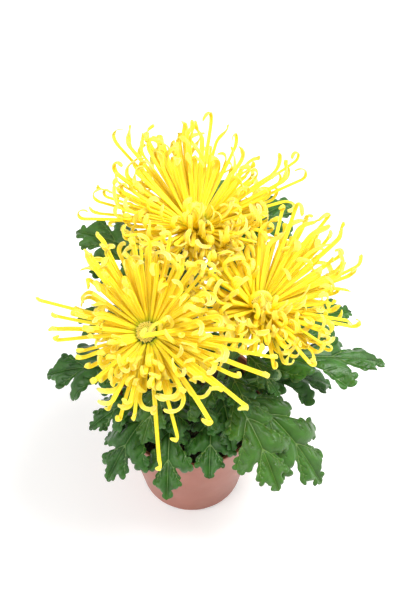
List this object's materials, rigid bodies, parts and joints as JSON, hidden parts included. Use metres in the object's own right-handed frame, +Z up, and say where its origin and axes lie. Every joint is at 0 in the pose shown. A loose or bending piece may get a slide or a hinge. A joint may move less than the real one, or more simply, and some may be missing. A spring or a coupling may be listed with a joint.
{
  "type": "potted chrysanthemum",
  "caption": "Flowering house plant: spidery yellow blooms of long hooked petals above lobed dark green leaves, rooted in potting mix in a tapered terracotta-coloured plastic pot.",
  "frame": {"origin": "middle of the underside of the pot, on the surface that it stands on", "axes": "+Z up along the pot's axis, -Y towards the side of the plant that faces its viewer, +X to that viewer's right"},
  "size_m": [0.2645, 0.2558, 0.3012],
  "materials": {
    "pot_plastic": "moulded plastic in a pale terracotta colour, smooth with a low sheen",
    "soil": "moist dark peat mix",
    "foliage": "dark green leaf with a soft sheen and paler veins",
    "rays": "satin yellow petal, paler at its hooked tip",
    "disc": "matt greenish yellow florets"
  },
  "bodies": {
    "root": {"pot": "pot_plastic", "soil": "soil", "stem_left": "foliage", "stem_right": "foliage", "stem_back": "foliage", "rays_left": "rays", "rays_right": "rays", "rays_back": "rays", "disc_left": "disc", "disc_right": "disc", "disc_back": "disc"}
  },
  "joints": []
}
